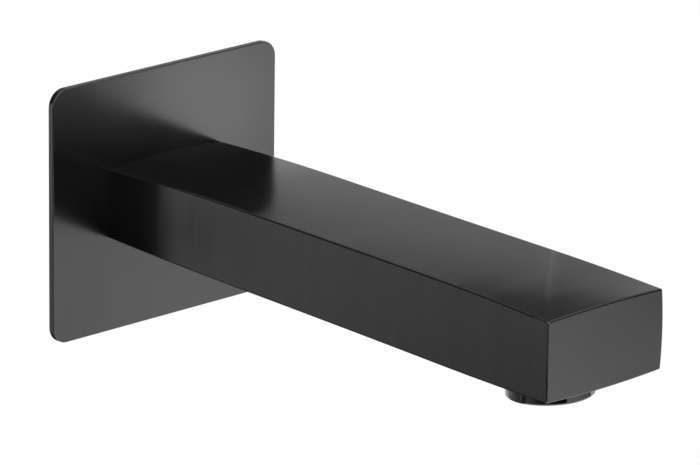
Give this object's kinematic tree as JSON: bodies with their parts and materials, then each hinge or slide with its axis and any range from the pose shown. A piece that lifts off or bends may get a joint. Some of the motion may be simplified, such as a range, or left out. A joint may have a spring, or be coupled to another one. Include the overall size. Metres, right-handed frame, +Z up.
{
  "type": "wall-mounted bath spout",
  "caption": "Square wall-mounted bath spout with a thin cover plate, a slip-on inlet nipple and a screwed-in aerator under its front end.",
  "frame": {"origin": "where the inlet axis meets the finished wall, at the back of the foam seal", "axes": "-Y out of the wall along the spout, +Z up, +X to the right of someone who faces the wall"},
  "size_m": [0.0826, 0.1963, 0.0743],
  "materials": {
    "coated_brass": "brushed gunmetal black coating on cast brass",
    "coated_steel": "brushed gunmetal black coating on steel sheet",
    "coated_rim": "polished gunmetal black coating on turned brass",
    "bare_brass": "as turned",
    "stainless": "plain stainless steel",
    "seal_rubber": "moulded rubber",
    "foam": "closed-cell foam",
    "insert_plastic": "moulded acetal"
  },
  "bodies": {
    "root": {"spout_body": "coated_brass", "wall_plate": "coated_steel", "foam_seal": "foam", "inlet_nipple": "bare_brass", "nipple_seal_rear": "seal_rubber", "nipple_seal_front": "seal_rubber", "thread_seal": "seal_rubber", "fixing_screw": "stainless", "aerator_shell": "coated_rim", "aerator_washer": "seal_rubber", "insert_cage": "insert_plastic", "stream_grid": "insert_plastic", "screen_lower": "stainless", "screen_spacer": "insert_plastic", "screen_upper": "stainless", "jet_plate": "insert_plastic", "inlet_strainer": "stainless"}
  },
  "joints": []
}
